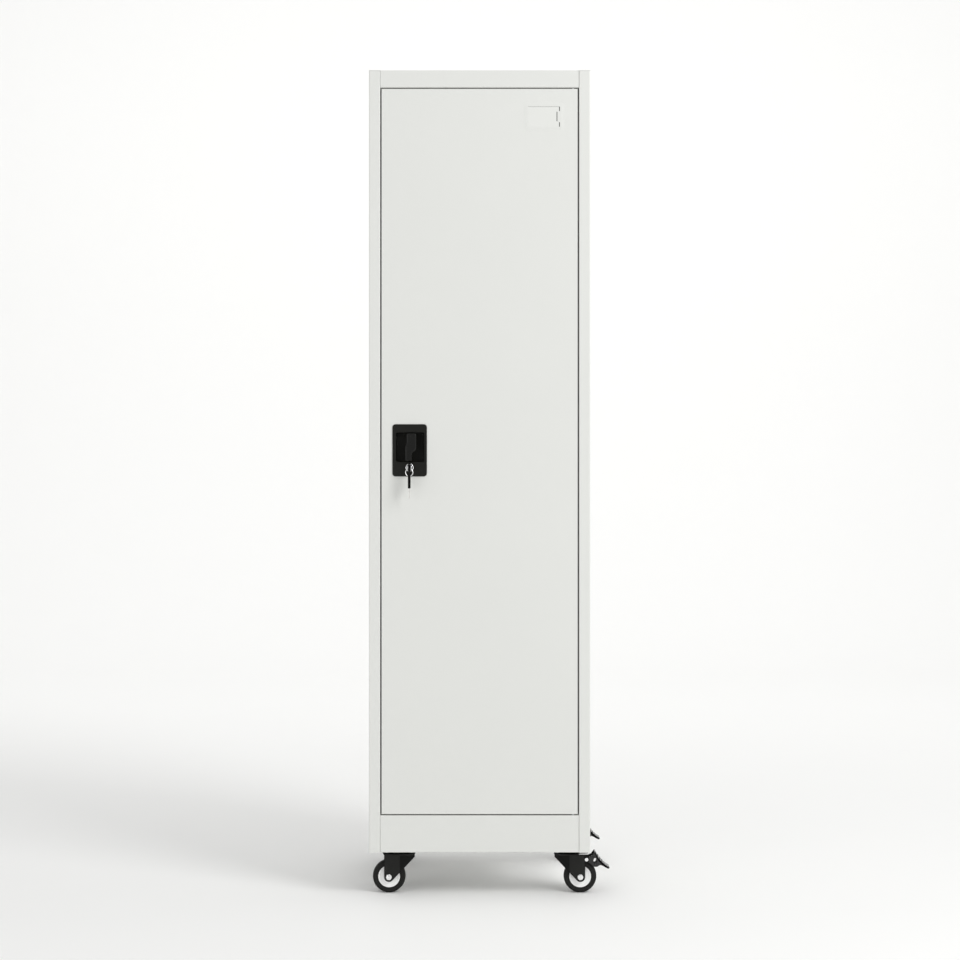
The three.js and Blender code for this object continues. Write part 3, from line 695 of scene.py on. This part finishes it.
def leg_panels(braked):
    """A raised panel on each leg from the crown to the axle: wider on a caster with no brake."""
    right, drop = (31.0, 0.05) if braked else (34.2, 0.0)
    panel = [(-1.0, 90.2), (right, 90.2), (34.2, 60.0), (34.2, 37.5), (31.0, 30.2), (24.0, 27.3)]
    panel += [(17.4, 29.8), (-1.0, 49.0)]
    outline = [p - Vector((0.0, drop)) for p in rounded(panel, PANEL_RADII, 6)]
    panels = []
    for (low, high), edges in zip(both_sides(18.2, 19.1), ((0.7, 0.1), (0.1, 0.7))):
        panels.append(plate(outline, [], "xz", low, high, *edges))
    return merged(*panels)


def plate_bolts():
    """The four bolts that hold a caster's plate, each with a washer over it."""
    parts = []
    for x in (-28, 28):
        for y in (-23.5, 23.5):
            parts.append(plate(hexagon(4.9, x, y, 0.3 + x), [], "xy", 95.2, 98.9, 0.5, 0.2))
            parts.append(plate(ellipse(x, y, 5.6, 5.6, 28), [], "xy", 98.4, 99.2, 0.2, 0.1, 2))
    return merged(*parts)


for caster, (_, _, trail) in CASTERS.items():
    fork, wheel, pedal = f"{caster}_fork", f"{caster}_wheel", f"{caster}_pedal"
    braked = trail > 0
    hub = lathe(hub_profile, "y", (TRAIL, 0, WHEEL), 96)
    add_to_caster(caster, "hub_disc", hub, hub_plastic, wheel, "hub")
    tyre = lathe(tyre_profile, "y", (TRAIL, 0, WHEEL), 128)
    add_to_caster(caster, "tread", tyre, tyre_rubber, wheel, "tyre")
    add_to_caster(caster, "axle_bolt", axle_bolt(), bright_zinc, fork, "axle", 32)
    race = lathe(race_profile, "z", (0, 0, 0), 72)
    add_to_caster(caster, "race", race, caster_steel, "cabinet")
    shield = lathe(shield_profile, "z", (0, 0, 0), 72)
    add_to_caster(caster, "dust_shield", shield, caster_steel, fork)
    bends = [bar(-35.1, 35.1, *span, 86.4, 91.3, 2.3) for span in both_sides(14.0, 18.9)]
    add_to_caster(caster, "crown_bends", merged(*bends), gloss_steel, fork)
    # The leg panels take the lighter steel: painted light on the flat leg faces.
    add_to_caster(caster, "leg_panels", leg_panels(braked), painted_light_leg_steel, fork)
    add_to_caster(caster, "plate_bolts", plate_bolts(), zinc, "cabinet", angle=32)
    if braked:
        lever, pin = pedal_parts()
        add_to_caster(
            caster, "pedal_lever", lever, pedal_steel, pedal, "brake_pedal"
        )
        add_to_caster(caster, "pedal_pin", pin, zinc, pedal)
        spring = [bar(20.5, 42.6, *span, 89.0, 91.9, 1.1) for span in both_sides(12.0, 19.3)]
        add_to_caster(caster, "brake_spring", merged(*spring), bright_zinc, fork)
        collar = ellipse(*PEDAL_PIN, 4.2, 4.2, 32)
        collars = [plate(collar, [], "xz", *span, 0.7, 0.7) for span in both_sides(18.6, 20.4)]
        add_to_caster(caster, "pivot_rivets", merged(*collars), bright_zinc, fork)

# ---- Handle housing ----
outer = rectangle(-158, 1011, 78, 118, 8, 8)
pocket = rectangle(-157, 1018, 63, 65.5, 4, 8)
bucket = rectangle(-157, 1018, 69, 71.5, 5, 8)
lock_seat = ellipse(LOCK_X, LOCK_Z, 8.3, 8.3, 48)
boss = ellipse(LOCK_X, LOCK_Z, 11, 11, 48)
shaft_seat = ellipse(GRIP_X, GRIP_Z, 11.6, 11.6, 48)
shaft_bore = ellipse(GRIP_X, GRIP_Z, 6.3, 6.3, 48)
seat_floor, boss_back = RECESS_FLOOR + 0.8, -213.6

# Rows of (how far the outline shrinks, depth), from the back of the plate's rim to its face, and
# from the face down the pocket's wall.
rim_rows = [
    (0.0, PLATE_BACK),
    (0.0, PLATE_FRONT + 1.5),
    (0.35, PLATE_FRONT + 0.75),
    (1.1, PLATE_FRONT + 0.25),
    (2.2, PLATE_FRONT),
]
pocket_rows = [
    (-1.0, PLATE_FRONT),
    (-0.4, PLATE_FRONT + 0.25),
    (0.0, PLATE_FRONT + 1.0),
    (0.8, RECESS_FLOOR - 2.0),
    (1.4, RECESS_FLOOR - 0.6),
    (2.8, RECESS_FLOOR),
]
boss_rows = [(boss, PLATE_BACK), (boss, boss_back)]
boss_rows += [(lock_seat, boss_back), (lock_seat, PLATE_FRONT)]
housing = merged(
    loft([(inset(outer, shrink), depth) for shrink, depth in rim_rows], "xz"),
    flat([inset(outer, 2.2), inset(pocket, -1.0), lock_seat], PLATE_FRONT),
    loft([(shaft_bore, seat_floor), (shaft_bore, BUCKET_BACK)], "xz"),
    flat([bucket, shaft_bore], BUCKET_BACK),
    loft([(bucket, BUCKET_BACK), (bucket, PLATE_BACK)], "xz"),
    flat([outer, bucket, boss], PLATE_BACK),
    loft(boss_rows, "xz"),
)
add("handle_plate", housing, housing_plastic, "door", "handle_housing", 32)
lining = merged(
    loft([(inset(pocket, shrink), depth) for shrink, depth in pocket_rows], "xz"),
    flat([inset(pocket, 2.8), shaft_seat], RECESS_FLOOR),
    loft([(shaft_seat, RECESS_FLOOR), (shaft_seat, seat_floor), (shaft_bore, seat_floor)], "xz"),
)
add("handle_pocket", lining, pocket_plastic, "door", angle=32)

# Turn grip: a broad upper wing and a narrower lower one, on a round hub with a square tail.
grip_points = [
    (-9, 31.5),
    (-9, 9),
    (-12, 3),
    (-12, -31.5),
    (3.4, -31.5),
    (3.4, -14),
    (13.5, -5),
    (13.5, 31.5),
]
grip_outline = [(GRIP_X + x, GRIP_Z + z) for x, z in grip_points]
grip_outline = rounded(grip_outline, [4, 5, 5, 4, 4, 7, 7, 4], 6)
grip_bar = plate(grip_outline, [], "xz", -238, -228.3, 3.2, 1.2, 6)
grip_hub = [(TIP, -229), (11, -229), (11, -213.2), (10.6, -212.8), (6, -212.8), (6, -209.6)]
grip_hub = lathe(grip_hub + [(TIP, -209.6)], "y", (GRIP_X, 0, GRIP_Z))
half = 3.2
grip_tail = bar(
    GRIP_X - half, GRIP_X + half, TAIL_FRONT, TAIL_BACK, GRIP_Z - half, GRIP_Z + half, 0.3
)
grip = merged(grip_bar, grip_hub, grip_tail)
add("grip_bar", grip, grip_plastic, "grip", "turn_grip", 34)

# ---- Lock ----
bezel_profile = [
    (5.8, -209.6),
    (8.0, -209.6),
    (8.0, -227.6),
    (9.0, -227.6),
    (9.0, -229.3),
    (8.7, -229.9),
    (8.1, -230.25),
    (7.2, -230.3),
    (6.7, -230.1),
    (6.3, -229.8),
    (5.8, -229.7),
]
bezel = lathe(bezel_profile, "y", (LOCK_X, 0, LOCK_Z), 80)
add("lock_bezel", bezel, chrome, "door", "lock_barrel", 30)
keyway = rectangle(LOCK_X, LOCK_Z, 3.0, 8.8, 0.5, 3)
plug = plate(ellipse(LOCK_X, LOCK_Z, 5.5, 5.5, 64), [keyway], "xz", -229.7, -212.4, 0.35, 0.1)
plug_end = [(TIP, -212.5), (5.5, -212.5), (5.5, -209.6), (TIP, -209.6)]
plug_end = lathe(plug_end, "y", (LOCK_X, 0, LOCK_Z))
half = 2.2
plug_tail = bar(
    LOCK_X - half, LOCK_X + half, TAIL_FRONT, TAIL_BACK, LOCK_Z - half, LOCK_Z + half, 0.2
)
core = merged(plug, plug_end, plug_tail)
add("lock_core", core, chrome, "lock", "lock_plug", 30)


# ---- Keys ----
def key_slab(outline, holes, half, *edges):
    """A flat part of a key, edge-on to the front and half as thick on each side."""
    return plate(outline, holes, "yz", LOCK_X - half, LOCK_X + half, *edges)


def key_head(y0, y1, z0, z1, hole_z):
    """A moulded head with a ring hole, and a raised edge round each side and round the hole."""
    outline = rectangle((y0 + y1) / 2, (z0 + z1) / 2, y1 - y0, z1 - z0, 6.5, 8)
    hole = ellipse(RING_Y, hole_z, KEY_HOLE, KEY_HOLE, 32)
    body = key_slab(outline, [hole], 2.3, 0.5, 0.5)
    band = key_slab(outline, [inset(outline, 1.8)], 2.7, 0.6, 0.6)
    collar = key_slab(ellipse(RING_Y, hole_z, 4.0, 4.0, 32), [hole], 2.7, 0.4, 0.4)
    return merged(body, band, collar)


def blade_outline(length):
    """A key's blade along +u: a straight back, a pointed tip and cuts along the other edge."""
    points = [(0, -3.9), (length - 2.2, -3.9), (length - 0.1, -1.2), (length - 1.6, 2.4)]
    depths = [0.9, 2.1, 1.3, 2.6, 1.1, 1.9, 0.7, 2.3]
    pitch, edge = 3.4, 3.4
    for k in range(int((length - 12) // pitch)):
        u = length - pitch - pitch * k
        low = edge - depths[k % len(depths)]
        points += [(u, low), (u - 1.5, low), (u - 2.6, edge)]
    return [Vector(p) for p in points + [(9, 3.6), (8.4, 3.9), (0, 3.9)]]


head = key_head(-253.2, -231.2, LOCK_Z - 10, LOCK_Z + 10, RING_TOP)
add("key_bow", head, key_plastic, "key", "key_head")
spare_hole = RING_TOP - 2 * RING_RADIUS
spare_high = spare_hole + 4.2
spare_low = spare_high - 32
head = key_head(RING_Y - 10, RING_Y + 10, spare_low, spare_high, spare_hole)
add("spare_key_bow", head, key_plastic, "spare_key", "spare_key_head")

blade_start = -239.7
outline = [Vector((blade_start + p.x, LOCK_Z + p.y)) for p in blade_outline(26.7)]
blade = key_slab(outline, [], BLADE_HALF, 0.25, 0.25, 2)
add("key_shaft", blade, nickel, "key", "key_blade", 30)
spare_start = spare_low + 8.5
outline = [Vector((RING_Y + p.y, spare_start - p.x)) for p in blade_outline(31)]
blade = key_slab(outline, [], BLADE_HALF, 0.25, 0.25, 2)
groove = rectangle(RING_Y - 1.6, spare_start - 18, 1.3, 22, 0.6)
blade = merged(blade, key_slab(groove, [], BLADE_HALF + 0.03, 0.05, 0.05, 1))
add("spare_key_shaft", blade, nickel, "spare_key", "spare_key_blade", 30)


def split_ring():
    """Flat wire wound nearly twice round, its two turns side by side and its ends thinned."""
    turns, steps, around = 1.96, 150, 10
    pitch, start = 0.96, math.pi / 2 + 0.6
    radial, axial = 0.85, 0.46
    verts, faces = [], []
    for k in range(steps + 1):
        t = k / steps
        a = start + 2 * math.pi * turns * t
        y = RING_Y - pitch / 2 + pitch * t
        thin = 1.0 if 0.01 < t < 0.99 else 0.7
        for j in range(around):
            b = 2 * math.pi * j / around
            r = RING_RADIUS + radial * thin * math.cos(b)
            x, z = LOCK_X + r * math.cos(a), RING_TOP - RING_RADIUS + r * math.sin(a)
            verts.append((x, y + axial * thin * math.sin(b), z))
    for k in range(steps):
        here, ahead = k * around, (k + 1) * around
        for j in range(around):
            m = (j + 1) % around
            faces.append((here + j, here + m, ahead + m, ahead + j))
    faces += [tuple(range(around)), tuple(range(steps * around, (steps + 1) * around))]
    return verts, faces


add("split_ring", split_ring(), bright_zinc, "key_ring", "key_ring", 45)

# ---- Label holder ----
# A shallow surround that rises gently from the door to a window with a notched right end. The
# card fills the window but for a narrow gap along its top and a wider one at its right, over a
# dark back: a painted shadow, a dark sheet that stands for the shade in those gaps.
left, right, low, high = 110.0, 181.3, 1742.0, 1787.5
rim_y = DOOR_FRONT - 0.55


def label_outline(shy_right, shy_top):
    """The window's outline, held back by shy_right at its right end and by shy_top at its top."""
    edge, notch, ease, step = right - shy_right, 5.7 + shy_right, 1.6, 10
    points = [(left, low), (edge, low), (edge, low + step + shy_right / 2)]
    points += [(right - notch, low + step + ease + shy_right / 2)]
    points += [(right - notch, high - step - ease), (edge, high - step - shy_right / 2)]
    return rounded(points + [(edge, high - shy_top), (left, high - shy_top)], 0.6, 3)


window = label_outline(0.0, 0.0)
slopes = []
for out, rise in ((9.0, 0.03), (6.0, 0.25), (3.0, 0.75), (1.5, 1.0), (0.0, 1.0)):
    width, height = right - left + 4 + 2 * out, high - low + 3 + 2 * out
    edge = rectangle((left + right) / 2, (low + high) / 2, width, height, 2.5 + out, 6)
    slopes.append((edge, DOOR_FRONT + (rim_y - DOOR_FRONT) * rise))
walls = loft([(window, rim_y), (window, DOOR_FRONT - 0.05)], "xz")
holder = merged(loft(slopes, "xz"), flat([slopes[-1][0], window], rim_y), walls)
add("label_frame", holder, paint, "door", "card_holder", 12)
card = plate(label_outline(1.7, 0.5), [], "xz", rim_y + 0.02, DOOR_FRONT - 0.2, 0.08, 0.02, 1)
add("blank_card", card, card_white, "door", "name_card", 12)
# Painted shadow: a dark sheet behind the window, showing through the gaps at the card's top and
# right as shadow lines.
painted_shadow_sheet = plate(window, [], "xz", DOOR_FRONT - 0.18, DOOR_FRONT - 0.06, 0.02, 0.02, 1)
add("label_painted_shadow_sheet", painted_shadow_sheet, nylon, "door")


# ---- Fasteners ----
def domes(spots, axis, side, radius, rise):
    """Domed heads on a face, at spots on it, standing out along an axis to one side."""
    dome = [
        (TIP, 0.0),
        (radius, 0.0),
        (radius * 0.97, side * rise * 0.35),
        (radius * 0.75, side * rise * 0.8),
        (radius * 0.4, side * rise),
        (TIP, side * rise),
    ]
    return merged(*[lathe(dome, axis, spot, 20) for spot in spots])


heights = [150, 420, 700, 980, 1260, 1540, 1820]
back_spots = [(x, BACK, z) for x in (-240, 240) for z in heights]
back_spots += [(x, BACK, z) for x in (-170, -60, 60, 170) for z in (1858, 160)]
back_domes = domes(back_spots, "y", 1, 3.0, 1.1)
add("back_rivets", back_domes, paint, "cabinet")
for side, end in ((-1, "left"), (1, "right")):
    spots = [(side * 247.0, y, 1551.0) for y in (-140, 150)]
    add(f"clip_rivets_{end}", domes(spots, "x", -side, 2.4, 1.0), zinc, "cabinet")
    spots = [(side * 246.5, y, RAIL_HEIGHT) for y in (-16, 16)]
    add(f"bracket_screws_{end}", domes(spots, "x", -side, 2.2, 1.4), zinc, "cabinet")
stiffener_spots = [(x, -222.6, z) for x in (-17, 41) for z in range(260, 1801, 220)]
weld_domes = domes(stiffener_spots, "y", 1, 2.6, 0.5)
add("stiffener_spot_welds", weld_domes, inner_paint, "door")

# ---- Stage ----
# A floor that curves up into a wall behind the cabinet, in metres.
floor_near, floor_far, floor_half = -16.0, 4.2, 16.0
curve, wall_top = 2.2, 7.0
angles = [math.pi / 2 * k / 16 for k in range(17)]
line = [(floor_near, 0.0)]
line += [(floor_far + curve * math.sin(a), curve - curve * math.cos(a)) for a in angles]
line.append((floor_far + curve, wall_top))
verts = [(x, y, z) for y, z in line for x in (-floor_half, floor_half)]
faces = [(2 * i, 2 * i + 1, 2 * i + 3, 2 * i + 2) for i in range(len(line) - 1)]
mesh = bpy.data.meshes.new("sweep")
mesh.from_pydata(verts, [], faces)
mesh.shade_smooth()
sweep = bpy.data.objects.new("sweep", mesh)
bpy.context.scene.collection.objects.link(sweep)
mesh.materials.append(
    surface(
        "sweep", (0.94, 0.94, 0.93), 0.75, grain=0.02, depth=0.0005, drift=0.004, specular=0.2
    )
)


def softbox(name, place, aim, width, height, power):
    """A rectangular area light at a place in metres, turned to a point, with its power in watts."""
    data = bpy.data.lights.new(name, "AREA")
    data.shape = "RECTANGLE"
    data.size, data.size_y = width, height
    data.energy = power
    lamp = bpy.data.objects.new(name, data)
    lamp.location = place
    lamp.rotation_euler = (Vector(aim) - Vector(place)).to_track_quat("-Z", "Y").to_euler()
    bpy.context.scene.collection.objects.link(lamp)


softbox("key", (3.0, -2.7, 3.5), (0.0, 0.0, 0.7), 1.8, 1.8, 90)
softbox("strip", (2.6, -2.4, 0.95), (-0.1, -0.2, 0.95), 0.25, 1.4, 6)
softbox("fill", (-2.6, -3.4, 0.9), (0.0, 0.0, 0.4), 2.0, 1.4, 13)
softbox("wall_wash", (0.0, 2.2, 4.1), (0.0, 6.4, 1.5), 10.0, 1.2, 86)
# Two weak ones under the cabinet lift the shadow on the floor there.
softbox("under_fill", (0.13, 0.07, 0.09), (0.13, 0.07, 0.0), 0.2, 0.2, 0.07)
softbox("under_fill_left", (-0.12, 0.07, 0.09), (-0.12, 0.07, 0.0), 0.2, 0.2, 0.018)

world = bpy.data.worlds.new("studio")
world.use_nodes = True
sky = world.node_tree.nodes["Background"]
sky.inputs["Color"].default_value = (1.0, 1.0, 1.0, 1.0)
sky.inputs["Strength"].default_value = 0.695
bpy.context.scene.world = world
bpy.context.scene.view_settings.view_transform = "Standard"
bpy.context.scene.view_settings.look = "None"

# The camera looks straight back, level, from 4 m in front of the door.
camera_x, camera_z, camera_distance = 0.9, 944.0, 4000.0
camera = bpy.data.objects.new("camera", bpy.data.cameras.new("camera"))
camera.data.sensor_width = 36.0
camera.data.lens = 66.4
camera.location = Vector((camera_x, FRONT - camera_distance, camera_z)) * MM + SHIFT
camera.rotation_euler = (math.pi / 2, 0.0, 0.0)
bpy.context.scene.collection.objects.link(camera)
bpy.context.scene.camera = camera
